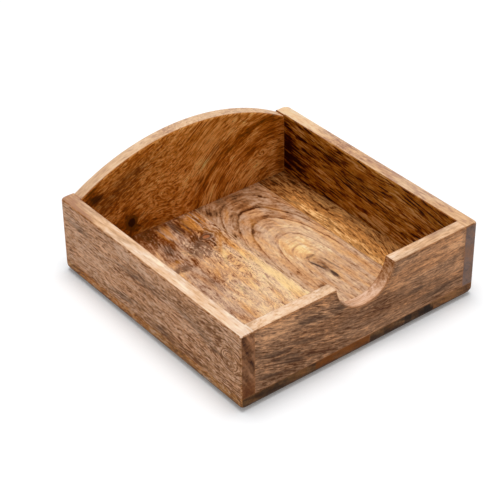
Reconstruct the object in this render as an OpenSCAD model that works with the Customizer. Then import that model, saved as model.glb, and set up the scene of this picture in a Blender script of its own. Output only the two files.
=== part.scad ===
// Square napkin holder in solid mango wood, made as a shallow tray with an arched back wall.
// Two side walls run the full depth, and the front and back walls are butted between them.
// All four stand on a base board of three edge-glued staves whose edges show all round.
// The origin is at the middle of the underside: +X to the right along the front, +Y to the
// back, +Z up. Lengths are in millimetres.

/* [Overall] */
// Width over the two side walls
width = 150; // [110:1:220]
// Depth over the front and back walls
depth = 150; // [110:1:220]
// Height of the arched back wall at its middle
arch_height = 62; // [54:1:105]
// Height of the side walls and the front wall above the table
side_height = 44.5; // [38:0.5:50]
// How far the two ends of the arch stop below the side walls
arch_end_drop = 1; // [0:0.25:4]

/* [Boards] */
// Thickness of the two side walls
side_thickness = 8; // [6.5:0.5:14]
// Thickness of the front wall and the back wall
cross_thickness = 7.5; // [6:0.5:14]
// Thickness of the base board
base_thickness = 8; // [6:0.5:12]
// Left stave of the base board, as a share of the width
left_stave_share = 0.53; // [0.3:0.01:0.55]
// Middle stave of the base board, as a share of the width, the right one being what is left
middle_stave_share = 0.287; // [0.15:0.001:0.3]

/* [Thumb notch] */
// Width of the notch at the top of the front wall
notch_width = 37; // [24:1:60]
// Depth of the notch below the top of the front wall
notch_depth = 16.5; // [8:0.5:24]
// How far the notch sits to the right of the middle
notch_offset = 1; // [-10:0.5:10]
// Bevel on the two rims of the notch
notch_bevel = 0.5; // [0.2:0.1:1.5]

/* [Edges] */
// Radius of the bottom edges of the base board
bottom_round = 4.5; // [1:0.5:5]
// Radius of the two upright corners at the back
back_corner_round = 2.5; // [0.5:0.5:4]
// Radius of the upright corner at the front left
front_left_round = 1; // [0.5:0.5:4]
// Radius of the upright corner at the front right
front_right_round = 2; // [0.5:0.5:4]
// Radius of the sanded top edges
top_ease = 1.1; // [0.3:0.1:1.5]

/* [Corner dowels] */
// Diameter of the blind dowels in the corner joints
dowel_diameter = 4; // [3:0.5:5]
// Length of a dowel inside the side wall
dowel_in_side = 5; // [3:0.5:5.5]
// Length of a dowel inside the end of the front or back wall
dowel_in_end = 11; // [8:0.5:16]
// Bevel on both ends of a dowel
dowel_bevel = 0.5; // [0.2:0.1:0.8]

/* [Base pins] */
// Diameter of the headless steel pins that hold the base board
pin_diameter = 1.4; // [1:0.1:2]
// Length of a pin with its point
pin_length = 18; // [14:0.5:20]
// Length of the point of a pin
pin_point = 2; // [1:0.5:3]
// How far the foot of a pin is set into the underside
pin_set = 0.6; // [0.2:0.1:2]

/* [Hidden] */

// Glue gap round a dowel or a pin
fit_gap = 0.05;
// Empty depth left past the blind end of a dowel or a pin
blind_gap = 0.5;
// Overrun of cuts that pass a face
overrun = 1;
// Steps in a rounded bottom edge
round_steps = 6;
// Steps in a sanded top edge
ease_steps = 3;
// Extra corner radius for each millimetre that the bottom edge curls in
bottom_corner_share = 0.6;

// Heights of the two dowels of a corner, as shares of the height above the pin points
dowel_height_shares = [0.3, 0.75];
// Places of the pins along a side wall, as shares of the depth
side_pin_shares = [-0.36, -0.12, 0.12, 0.36];
// Places of pins under the front and back walls, as shares of the span over each stave
left_stave_pin_shares = [0.25, 0.75];
other_stave_pin_shares = [0.5];

inner_width = width - 2 * side_thickness;
inner_depth = depth - 2 * cross_thickness;
cross_wall_y = depth / 2 - cross_thickness / 2;
side_wall_x = width / 2 - side_thickness / 2;
wall_height = side_height - base_thickness;

stave_edges = spread(
    -width / 2,
    width / 2,
    [0, left_stave_share, left_stave_share + middle_stave_share, 1]
);

// The arch is one circle through its two ends and its crown
arch_end_height = side_height - arch_end_drop;
arch_rise = arch_height - arch_end_height;
arch_radius = (pow(inner_width / 2, 2) + pow(arch_rise, 2)) / (2 * arch_rise);
arch_centre_height = arch_height - arch_radius;

// The notch is one circle through its two shoulders and its lowest point
notch_radius = (pow(notch_width / 2, 2) + pow(notch_depth, 2)) / (2 * notch_depth);
notch_centre_height = side_height - notch_depth + notch_radius;

pin_top = pin_set + pin_length;
dowel_heights = [for (share = dowel_height_shares) pin_top + share * (side_height - pin_top)];
side_pin_places = [for (share = side_pin_shares) share * depth];
cross_pin_places = concat(
    spread(-inner_width / 2, stave_edges[1], left_stave_pin_shares),
    spread(stave_edges[1], stave_edges[2], other_stave_pin_shares),
    spread(stave_edges[2], inner_width / 2, other_stave_pin_shares)
);

wood_light = "#b98a5c";
wood_warm = "#a8703c";
wood_brown = "#8f6238";
wood_dark = "#6f4524";
beech = "#d8bd92";
steel = "#a9adb0";

$fn = 96;

// Places between two ends, each at its share of the way
function spread(from, to, shares) = [for (share = shares) from + share * (to - from)];

// One upright corner of the outer block, drawn in from the outline by the inset
module corner_post(side, back, inset, low, high) {
    front_round = side < 0 ? front_left_round : front_right_round;
    upright = back > 0 ? back_corner_round : front_round;
    radius = upright + inset * bottom_corner_share;
    translate([
        side * (width / 2 - inset - radius),
        back * (depth / 2 - inset - radius),
        low
    ])
        cylinder(r = radius, h = high - low, $fn = 32);
}

// The outer block of the tray, with rounded bottom edges and sanded top edges
module outer_block() {
    middle = side_height / 2;
    hull()
        for (side = [-1, 1], back = [-1, 1]) {
            corner_post(side, back, 0, bottom_round, side_height - top_ease);
            for (step = [1 : round_steps]) {
                curl = bottom_round * (1 - cos(90 * step / round_steps));
                drop = bottom_round * sin(90 * step / round_steps);
                corner_post(side, back, curl, bottom_round - drop, middle);
            }
            for (step = [1 : ease_steps]) {
                curl = top_ease * (1 - cos(90 * step / ease_steps));
                rise = top_ease * sin(90 * step / ease_steps);
                corner_post(side, back, curl, middle, side_height - top_ease + rise);
            }
        }
}

// The four corners of the space inside the walls at one height, spread over three of the walls
function inner_ring(spread_by, z) = [
    [-inner_width / 2 - spread_by, -inner_depth / 2 - spread_by, z],
    [inner_width / 2 + spread_by, -inner_depth / 2 - spread_by, z],
    [inner_width / 2 + spread_by, inner_depth / 2, z],
    [-inner_width / 2 - spread_by, inner_depth / 2, z]
];

// What sanding takes off the inner top edges of the side walls and the front wall
module inner_edge_cut() {
    foot = side_height - top_ease;
    for (step = [1 : ease_steps]) {
        low = 90 * (step - 1) / ease_steps;
        high = 90 * step / ease_steps;
        polyhedron(
            points = concat(
                inner_ring(top_ease * (1 - cos(low)), foot + top_ease * sin(low)),
                inner_ring(top_ease * (1 - cos(high)), foot + top_ease * sin(high))
            ),
            faces = [
                [0, 1, 2, 3], [7, 6, 5, 4],
                [0, 4, 5, 1], [1, 5, 6, 2], [2, 6, 7, 3], [3, 7, 4, 0]
            ]
        );
    }
}

// A round bar lying along X, from the joint face outwards in the direction given
module bar_along_x(direction, diameter, length) {
    rotate([0, direction * 90, 0])
        cylinder(d = diameter, h = length);
}

// The bores that the dowels of one corner need in both of its boards
module corner_bores(side, back) {
    bore = dowel_diameter + 2 * fit_gap;
    for (height = dowel_heights)
        translate([side * inner_width / 2, back * cross_wall_y, height]) {
            bar_along_x(side, bore, dowel_in_side + blind_gap);
            bar_along_x(-side, bore, dowel_in_end + blind_gap);
        }
}

// The two dowels of one corner, half in the side wall and half in the end of the other board
module corner_dowels(side, back) {
    body_length = dowel_in_side + dowel_in_end - 2 * dowel_bevel;
    tip_diameter = dowel_diameter - 2 * dowel_bevel;
    for (height = dowel_heights)
        translate([side * (inner_width / 2 + dowel_in_side), back * cross_wall_y, height])
            rotate([0, -side * 90, 0]) {
                cylinder(d1 = tip_diameter, d2 = dowel_diameter, h = dowel_bevel);
                translate([0, 0, dowel_bevel])
                    cylinder(d = dowel_diameter, h = body_length);
                translate([0, 0, dowel_bevel + body_length])
                    cylinder(d1 = dowel_diameter, d2 = tip_diameter, h = dowel_bevel);
            }
}

// One headless pin, foot down and point up
module pin() {
    shank_length = pin_length - pin_point;
    translate([0, 0, pin_set]) {
        cylinder(d = pin_diameter, h = shank_length);
        translate([0, 0, shank_length])
            cylinder(d1 = pin_diameter, d2 = pin_diameter / 4, h = pin_point);
    }
}

// The bore of one pin, open at the underside
module pin_bore() {
    translate([0, 0, -overrun])
        cylinder(d = pin_diameter + 2 * fit_gap, h = overrun + pin_top + blind_gap);
}

// Places its child at each pin of a side wall
module at_side_pins(side) {
    for (place = side_pin_places)
        translate([side * side_wall_x, place, 0])
            children();
}

// Places its child at each pin of the front or back wall
module at_cross_pins(back) {
    for (place = cross_pin_places)
        translate([place, back * cross_wall_y, 0])
            children();
}

// One stave of the base board, between two of the stave edges
module base_stave(index) {
    left = stave_edges[index];
    right = stave_edges[index + 1];
    difference() {
        intersection() {
            outer_block();
            translate([left, -depth / 2, 0])
                cube([right - left, depth, base_thickness]);
        }
        for (end = [-1, 1]) {
            at_side_pins(end)
                pin_bore();
            at_cross_pins(end)
                pin_bore();
        }
    }
}

// A side wall over the full depth, seen from its own side
module side_wall(side) {
    outer_x = side * width / 2;
    inner_x = side * inner_width / 2;
    difference() {
        intersection() {
            outer_block();
            translate([min(outer_x, inner_x), -depth / 2, base_thickness])
                cube([side_thickness, depth, wall_height]);
        }
        inner_edge_cut();
        corner_bores(side, -1);
        corner_bores(side, 1);
        at_side_pins(side)
            pin_bore();
    }
}

// The round thumb notch with a bevel on each rim
module notch_cut() {
    front_y = -depth / 2;
    bevel_reach = overrun + notch_bevel;
    translate([notch_offset, front_y, notch_centre_height])
        rotate([-90, 0, 0]) {
            translate([0, 0, -overrun])
                cylinder(r = notch_radius, h = cross_thickness + 2 * overrun);
            translate([0, 0, -overrun])
                cylinder(
                    r1 = notch_radius + bevel_reach,
                    r2 = notch_radius,
                    h = bevel_reach
                );
            translate([0, 0, cross_thickness - notch_bevel])
                cylinder(
                    r1 = notch_radius,
                    r2 = notch_radius + bevel_reach,
                    h = bevel_reach
                );
        }
}

// The arch as a disc with sanded rims, standing across the back
module arch_disc() {
    steps = [for (step = [0 : ease_steps]) 90 * step / ease_steps];
    front_rim = [
        for (angle = steps)
            [arch_radius - top_ease * (1 - sin(angle)), top_ease * (1 - cos(angle))]
    ];
    back_rim = [
        for (angle = steps)
            [
                arch_radius - top_ease * (1 - cos(angle)),
                cross_thickness - top_ease * (1 - sin(angle))
            ]
    ];
    translate([0, inner_depth / 2, arch_centre_height])
        rotate([-90, 0, 0])
            rotate_extrude($fn = 360)
                polygon(concat([[0, 0]], front_rim, back_rim, [[0, cross_thickness]]));
}

module base_stave_left()
    color(wood_warm) base_stave(0);

module base_stave_middle()
    color(wood_light) base_stave(1);

module base_stave_right()
    color(wood_warm) base_stave(2);

module left_wall()
    color(wood_brown) side_wall(-1);

module right_wall()
    color(wood_dark) side_wall(1);

module front_wall()
    color(wood_brown)
        difference() {
            intersection() {
                outer_block();
                translate([-inner_width / 2, -depth / 2, base_thickness])
                    cube([inner_width, cross_thickness, wall_height]);
            }
            inner_edge_cut();
            notch_cut();
            corner_bores(-1, -1);
            corner_bores(1, -1);
            at_cross_pins(-1)
                pin_bore();
        }

module back_wall()
    color(wood_warm)
        difference() {
            intersection() {
                arch_disc();
                translate([-inner_width / 2, inner_depth / 2, base_thickness])
                    cube([inner_width, cross_thickness, arch_height]);
            }
            corner_bores(-1, 1);
            corner_bores(1, 1);
            at_cross_pins(1)
                pin_bore();
        }

module dowels_front_left()
    color(beech) corner_dowels(-1, -1);

module dowels_front_right()
    color(beech) corner_dowels(1, -1);

module dowels_back_left()
    color(beech) corner_dowels(-1, 1);

module dowels_back_right()
    color(beech) corner_dowels(1, 1);

module pins_left_wall()
    color(steel)
        at_side_pins(-1)
            pin();

module pins_right_wall()
    color(steel)
        at_side_pins(1)
            pin();

module pins_front_wall()
    color(steel)
        at_cross_pins(-1)
            pin();

module pins_back_wall()
    color(steel)
        at_cross_pins(1)
            pin();

base_stave_left();
base_stave_middle();
base_stave_right();
left_wall();
right_wall();
front_wall();
back_wall();
dowels_front_left();
dowels_front_right();
dowels_back_left();
dowels_back_right();
pins_left_wall();
pins_right_wall();
pins_front_wall();
pins_back_wall();
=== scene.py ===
"""A square mango-wood napkin holder on a pale floor, in soft studio light.

Lengths are metres in the scene and millimetres inside the wood materials. There a place on a
board is read as along the grain, across it and through the board, from the origin of the part.
"""

import math

import bpy
from mathutils import Matrix, Vector


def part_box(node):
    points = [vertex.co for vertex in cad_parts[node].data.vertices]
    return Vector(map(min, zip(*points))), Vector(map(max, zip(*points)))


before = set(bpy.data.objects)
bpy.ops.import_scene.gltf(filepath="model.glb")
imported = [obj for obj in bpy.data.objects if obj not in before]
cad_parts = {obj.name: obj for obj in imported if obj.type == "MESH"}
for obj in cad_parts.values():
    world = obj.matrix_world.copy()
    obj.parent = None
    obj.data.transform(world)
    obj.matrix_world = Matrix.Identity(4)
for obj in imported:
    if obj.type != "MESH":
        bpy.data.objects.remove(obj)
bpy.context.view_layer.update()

MM_PER_M = 1000.0

# Camera: where it stands, what it looks at, how far it leans and how long its lens is
CAMERA_PLACE = (-0.4352, -0.5444, 0.5046)
CAMERA_TARGET = (-0.0069, 0.0048, 0.020)
CAMERA_LEAN_DEG = -0.65
LENS_MM = 119.27
SENSOR_MM = 36.0

# Light
WORLD_STRENGTH = 0.43
FLOOR_HALF_SIDE = 3.0
FLOOR_TONE = (0.945, 0.96, 0.975, 1.0)
FLOOR_ROUGHNESS = 0.9
FLOOR_SPECULAR = 0.1
FLOOR_GLOW = 0.09
OVERHEAD_PLACE = (0.05, 0.05, 2.2)
OVERHEAD_SIZE = 1.1
OVERHEAD_WATTS = 33.8

# Boards, in millimetres
WALL_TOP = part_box("left_wall")[1][2] * MM_PER_M
LEFT_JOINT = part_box("base_stave_middle")[0][0] * MM_PER_M
RIGHT_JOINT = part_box("base_stave_middle")[1][0] * MM_PER_M
JOINT_LINE = 0.45

# Where the tones of a palette stand on the scale of tone, from its darkest to its lightest
TONE_PLACES = (0.07, 0.29, 0.5, 0.71, 0.93)


# Colour

def colour(red, green, blue):
    """A colour given as it shows on screen, 0 to 255, in the linear values that Blender takes."""
    def linear(value):
        share = value / 255.0
        return share / 12.92 if share <= 0.04045 else ((share + 0.055) / 1.055) ** 2.4
    return (linear(red), linear(green), linear(blue), 1.0)


def palette(*tones):
    """Five tones of one wood, from dark to light, ready for a colour ramp."""
    return [(place, colour(*tone)) for place, tone in zip(TONE_PLACES, tones)]


# Nodes

class Sheet:
    """A node tree written as a list of steps. Each step takes sockets or plain values."""

    def __init__(self, tree):
        self.tree = tree

    def feed(self, value, socket):
        if isinstance(value, bpy.types.NodeSocket):
            self.tree.links.new(value, socket)
        elif value is not None:
            socket.default_value = value

    def step(self, kind, values=(), **settings):
        node = self.tree.nodes.new("ShaderNode" + kind)
        for name, value in settings.items():
            setattr(node, name, value)
        for key, value in dict(values).items():
            self.feed(value, node.inputs[key])
        return node

    def math(self, operation, first, second=None, third=None):
        given = {0: first, 1: second, 2: third}
        values = {key: value for key, value in given.items() if value is not None}
        return self.step("Math", values, operation=operation).outputs[0]

    def add(self, first, *more):
        total = first
        for value in more:
            total = self.math("ADD", total, value)
        return total

    def less(self, first, second):
        return self.math("SUBTRACT", first, second)

    def times(self, first, second):
        return self.math("MULTIPLY", first, second)

    def plus_times(self, first, second, base):
        return self.math("MULTIPLY_ADD", first, second, base)

    def vector(self, along, across, through):
        return self.step("CombineXYZ", {"X": along, "Y": across, "Z": through}).outputs[0]

    def vector_math(self, operation, first, second=None):
        values = {0: first} if second is None else {0: first, 1: second}
        return self.step("VectorMath", values, operation=operation).outputs[0]

    def scaled(self, vector, by):
        return self.vector_math("MULTIPLY", vector, by)

    def length(self, vector):
        return self.step("VectorMath", {0: vector}, operation="LENGTH").outputs["Value"]

    def parts(self, vector):
        return self.step("SeparateXYZ", {"Vector": vector}).outputs

    def noise(self, vector, detail=2.0, roughness=0.5, output="Fac", distortion=0.0):
        """Smooth noise with one bump per unit of the vector, from 0 to 1."""
        values = {
            "Vector": vector, "Scale": 1.0, "Detail": detail, "Roughness": roughness,
            "Distortion": distortion,
        }
        return self.step("TexNoise", values).outputs[output]

    def ripple(self, vector, detail=2.0, roughness=0.5, distortion=0.0):
        """Smooth noise about 0."""
        return self.less(self.noise(vector, detail, roughness, distortion=distortion), 0.5)

    def fade(self, value, low, high, start=0.0, end=1.0):
        """A smooth step of the value from low to high, given out from start to end."""
        values = {
            "Value": value, "From Min": low, "From Max": high, "To Min": start, "To Max": end,
        }
        node = self.step("MapRange", values, interpolation_type="SMOOTHSTEP")
        return node.outputs["Result"]

    def near(self, value, place, reach):
        """1 where the value is at the place, fading to 0 at the reach."""
        return self.fade(self.math("ABSOLUTE", self.less(value, place)), reach, 0.0)

    def blend(self, share, first, second, mode="MIX"):
        node = self.step("Mix", data_type="RGBA", blend_type=mode)
        self.feed(share, node.inputs[0])
        self.feed(first, node.inputs[6])
        self.feed(second, node.inputs[7])
        return node.outputs[2]

    def ramp(self, value, stops):
        """A colour ramp through stops of (place, colour)."""
        node = self.step("ValToRGB", {"Fac": value})
        band = node.color_ramp
        while len(band.elements) < len(stops):
            band.elements.new(1.0)
        for element, (place, tone) in zip(band.elements, stops):
            element.position = place
            element.color = tone
        return node.outputs["Color"]

    def profile(self, value, stops):
        """A level that runs through stops of (value, level), both of any size."""
        low, high = stops[0][0], stops[-1][0]
        share = self.math("DIVIDE", self.less(value, low), high - low)
        greys = [
            ((place - low) / (high - low), (level, level, level, 1.0)) for place, level in stops
        ]
        return self.ramp(share, greys)


def node_group(name, inputs, outputs, build):
    """A shader node group with named sockets, filled by a function of its sheet and inputs."""
    tree = bpy.data.node_groups.new(name, "ShaderNodeTree")
    for label, value in inputs.items():
        kind = "NodeSocketVector" if isinstance(value, tuple) else "NodeSocketFloat"
        tree.interface.new_socket(label, in_out="INPUT", socket_type=kind).default_value = value
    for label in outputs:
        tree.interface.new_socket(label, in_out="OUTPUT", socket_type="NodeSocketFloat")
    sheet = Sheet(tree)
    entry = tree.nodes.new("NodeGroupInput")
    results = build(sheet, entry.outputs)
    leave = tree.nodes.new("NodeGroupOutput")
    for label, value in results.items():
        sheet.feed(value, leave.inputs[label])
    return tree


def place_group(sheet, tree, values):
    """Places a node group with its own values and returns its outputs."""
    node = sheet.step("Group", node_tree=tree)
    for label, value in values.items():
        sheet.feed(value, node.inputs[label])
    return node.outputs


# Wood effects that the boards share

# Noise drawn out along the grain: bumps per millimetre along and across it, a shift that keeps
# each band apart, and where they differ from plain noise its detail, roughness and distortion
DRIFT_BAND = (0.018, 0.05)
SWIRL_BAND = (0.15, 0.26)
FIBRE_BANDS = {
    "broad": (0.016, 0.10, 3.0),
    "streak": (0.06, 0.42, 11.0, 2.0, 0.6),
    "hair": (0.16, 1.0, 23.0),
    "dash": (0.11, 0.75, 47.0),
    "pore": (0.34, 1.7, 31.0, 0.0),
    "marble": (0.26, 0.36, 59.0, 2.0, 0.6, 2.0),
}
GRIT_PER_MM = (0.5, 0.75, 0.75)
GRIT_SHIFT = (7.1, 3.3, 5.7)
AMBER_PER_MM = (0.03, 0.15, 0.15)

MIDDLE_TONE = 0.57
GROWTH_LINES = 11.0
RING_STRETCH = 0.14
EDGE_RADIUS_M = 0.0012
ORIGIN = (0.0, 0.0, 0.0)
ALL_THROUGH = 1000.0


def build_fibre(sheet, given):
    """Long fibres, streaks, dark dashes, grit and open pores, drawn out along the grain."""
    along, across, through = given["Along"], given["Across"], given["Through"]
    seed = given["Seed"]

    def spread(per_along, per_across):
        return sheet.vector(
            sheet.plus_times(along, per_along, seed),
            sheet.times(across, per_across),
            sheet.times(through, per_across),
        )

    drift = sheet.times(sheet.ripple(spread(*DRIFT_BAND), 1.0), given["Wander"])
    swirl = sheet.noise(spread(*SWIRL_BAND), 2.0, 0.55, "Color")
    turns = sheet.parts(sheet.vector_math("SUBTRACT", swirl, (0.5, 0.5, 0.5)))
    run = sheet.plus_times(turns[0], sheet.times(given["Curl"], 2.0), along)
    run = sheet.times(run, given["Short"])
    lane = sheet.plus_times(turns[1], given["Curl"], sheet.add(across, drift))
    depth = sheet.plus_times(turns[2], given["Curl"], sheet.plus_times(drift, 0.5, through))

    def stretched(per_along, per_across, shift, detail=1.0, roughness=0.5, distortion=0.0):
        vector = sheet.vector(
            sheet.plus_times(run, per_along, sheet.add(seed, shift)),
            sheet.times(lane, per_across),
            sheet.times(depth, per_across),
        )
        return sheet.ripple(vector, detail, roughness, distortion)

    broad = stretched(*FIBRE_BANDS["broad"])
    streak = stretched(*FIBRE_BANDS["streak"])
    hair = stretched(*FIBRE_BANDS["hair"])
    spots = sheet.vector_math("ADD", sheet.scaled(given["Place"], GRIT_PER_MM), GRIT_SHIFT)
    grit = sheet.ripple(spots, 2.0, 0.7)
    dash = sheet.plus_times(given["Dashes"], 0.11, stretched(*FIBRE_BANDS["dash"]))
    pore = stretched(*FIBRE_BANDS["pore"])
    marble = stretched(*FIBRE_BANDS["marble"])
    growth = sheet.math("FRACT", sheet.plus_times(broad, GROWTH_LINES, streak))
    line = sheet.near(growth, 0.5, 0.22)
    dark = sheet.fade(dash, 0.12, 0.2)
    open_pore = sheet.fade(pore, 0.1, 0.2)
    curls = sheet.plus_times(sheet.near(marble, 0.0, 0.04), -0.24, sheet.times(marble, 0.95))
    coarse = sheet.add(sheet.times(broad, 0.6), sheet.times(streak, 0.95), sheet.times(line, -0.08))
    fine = sheet.add(
        sheet.times(hair, 0.85),
        sheet.times(grit, given["Grit"]),
        sheet.times(dark, -0.28),
        sheet.times(open_pore, -0.12),
    )
    tone = sheet.add(
        MIDDLE_TONE,
        sheet.times(coarse, given["Coarse"]),
        sheet.times(fine, given["Fine"]),
        sheet.times(curls, given["Burl"]),
    )
    return {
        "Tone": tone,
        "Pore": open_pore,
        "Relief": sheet.add(hair, sheet.times(open_pore, -0.5), sheet.times(dark, -0.2)),
    }


def build_patch(sheet, given):
    """A soft ragged oval on a board, turned in the plane of its face."""
    offset = sheet.vector_math("SUBTRACT", given["Place"], given["Centre"])
    turned = sheet.step(
        "VectorRotate",
        {"Vector": offset, "Axis": (0.0, 0.0, 1.0), "Angle": given["Turn"]},
        rotation_type="AXIS_ANGLE",
    ).outputs[0]
    reach = sheet.length(sheet.vector_math("DIVIDE", turned, given["Radii"]))
    grain = sheet.scaled(turned, given["Grain"])
    rough = sheet.ripple(grain, 3.0, 0.6)
    edge = sheet.plus_times(rough, given["Ragged"], reach)
    return {"Mask": sheet.fade(edge, 1.0, given["Core"])}


def build_knot(sheet, given):
    """A knot: its eye, the dark rim round it, and how far it pushes the grain aside."""
    offset = sheet.vector_math("SUBTRACT", given["Place"], given["Centre"])
    reach = sheet.length(sheet.vector_math("DIVIDE", offset, given["Radii"]))
    rough = sheet.ripple(sheet.scaled(offset, (0.5, 0.5, 0.1)))
    ragged = sheet.plus_times(rough, 0.5, reach)
    square = sheet.plus_times(reach, reach, 0.35)
    aside = sheet.math("DIVIDE", sheet.times(sheet.parts(offset)[1], given["Push"]), square)
    return {
        "Eye": sheet.fade(ragged, 1.0, 0.7),
        "Rim": sheet.near(ragged, 1.15, 0.45),
        "Aside": aside,
        "Reach": ragged,
    }


def build_edge_wear_and_under_shade(sheet, given):
    """Where the surface turns over an edge: worn anywhere, eased on top, or turned under the base,
    where shade is painted.
    """
    rounded = sheet.step("Bevel", {"Radius": given["Radius"]}, samples=4).outputs[0]
    flat = sheet.step("NewGeometry").outputs["Normal"]
    match = sheet.step(
        "VectorMath", {0: rounded, 1: flat}, operation="DOT_PRODUCT"
    ).outputs["Value"]
    upward = sheet.parts(flat)[2]
    return {
        "Worn": sheet.fade(match, 0.99, 0.88),
        "Eased": sheet.near(upward, 0.62, 0.34),
        "Painted Under Shade": sheet.times(sheet.fade(upward, -0.02, -0.5), sheet.fade(upward, -0.98, -0.9)),
    }


def build_marbling(sheet, given):
    """Swirled shares, from 0 to 1, for the clouds and curls of a burl."""
    spots = sheet.scaled(given["Place"], given["Grain"])
    swirls = sheet.noise(spots, 3.0, 0.55, distortion=1.6)
    return {"Share": sheet.fade(swirls, given["Low"], given["High"])}


def build_amber_drift(sheet, given):
    """Broad drifts of warmer wood along the grain, from 0 to 1."""
    drifts = sheet.noise(sheet.scaled(given["Place"], AMBER_PER_MM), 2.0)
    return {"Share": sheet.fade(drifts, 0.4, 0.62)}


def build_end_rings(sheet, given):
    """Slanting rings on the end of a board, turned from level."""
    sine = sheet.math("SINE", given["Turn"])
    cosine = sheet.math("COSINE", given["Turn"])
    rings = sheet.plus_times(given["Through"], sine, sheet.times(given["Across"], cosine))
    flow = sheet.less(sheet.times(given["Through"], cosine), sheet.times(given["Across"], sine))
    vector = sheet.vector(
        sheet.times(rings, given["Rings"]),
        sheet.times(flow, sheet.times(given["Rings"], RING_STRETCH)),
        given["Seed"],
    )
    return {"Tone": sheet.times(sheet.ripple(vector, 3.0), given["Strength"])}


def build_glue_line(sheet, given):
    """The line of a joint on the floor: dark on its left and pale on its right."""
    floor_only = sheet.fade(given["Upward"], 0.5, 0.9)
    sides = {}
    for side, shift in (("Dark", -JOINT_LINE / 2), ("Pale", JOINT_LINE / 2)):
        line = sheet.near(given["Across"], sheet.add(given["Joint"], shift), JOINT_LINE)
        sides[side] = sheet.times(line, floor_only)
    return sides


fibre_group = node_group(
    "mango fibre",
    {
        "Place": ORIGIN, "Along": 0.0, "Across": 0.0, "Through": 0.0, "Seed": 0.0, "Wander": 4.0,
        "Curl": 0.0, "Dashes": 0.0, "Burl": 0.0, "Coarse": 1.0, "Fine": 1.0, "Grit": 0.7,
        "Short": 1.0,
    },
    ("Tone", "Pore", "Relief"), build_fibre,
)
patch_group = node_group(
    "soft patch",
    {
        "Place": ORIGIN, "Centre": ORIGIN, "Radii": (10.0, 5.0, 5.0), "Turn": 0.0,
        "Grain": (0.06, 0.4, 0.2), "Ragged": 1.5, "Core": 0.2,
    },
    ("Mask",), build_patch,
)
knot_group = node_group(
    "knot",
    {"Place": ORIGIN, "Centre": ORIGIN, "Radii": (2.0, 2.0, ALL_THROUGH), "Push": -1.0},
    ("Eye", "Rim", "Aside", "Reach"), build_knot,
)
edge_wear_and_shade_group = node_group(
    "edge wear and under shade", {"Radius": EDGE_RADIUS_M}, ("Worn", "Eased", "Painted Under Shade"), build_edge_wear_and_under_shade
)
marbling_group = node_group(
    "marbling", {"Place": ORIGIN, "Grain": (0.1, 0.2, 0.2), "Low": 0.42, "High": 0.58},
    ("Share",), build_marbling,
)
amber_group = node_group("amber drift", {"Place": ORIGIN}, ("Share",), build_amber_drift)
end_group = node_group(
    "end rings",
    {"Across": 0.0, "Through": 0.0, "Seed": 0.0, "Turn": 0.0, "Rings": 0.42, "Strength": 1.0},
    ("Tone",), build_end_rings,
)
glue_group = node_group(
    "glue line", {"Across": 0.0, "Upward": 1.0, "Joint": 0.0}, ("Dark", "Pale"), build_glue_line
)

AXES = {"X": 0, "Y": 1, "Z": 2}

FIBRE_LEVELS = ("curl", "dashes", "burl", "coarse", "fine", "grit", "short")

# Levels of the figure that hold on one kind of face only
TOP_LEVELS = {
    "coarse": 0.95, "fine": 0.62, "grit": 0.2, "short": 1.1, "pores": 0.05, "curl": 0.0,
    "dashes": 0.0, "burl": 0.0, "tone": 0.0,
}
END_LEVELS = {
    "coarse": 0.5, "fine": 0.3, "dashes": -1.0, "burl": 0.0, "pores": 0.1, "tone": 0.0,
}
SIDE_LEVELS = {
    "coarse": 1.0, "fine": 1.45, "grit": 0.6, "short": 1.5, "pores": 0.25, "curl": 0.0,
    "dashes": 0.25, "burl": 0.0, "tone": 0.0,
}


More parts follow.
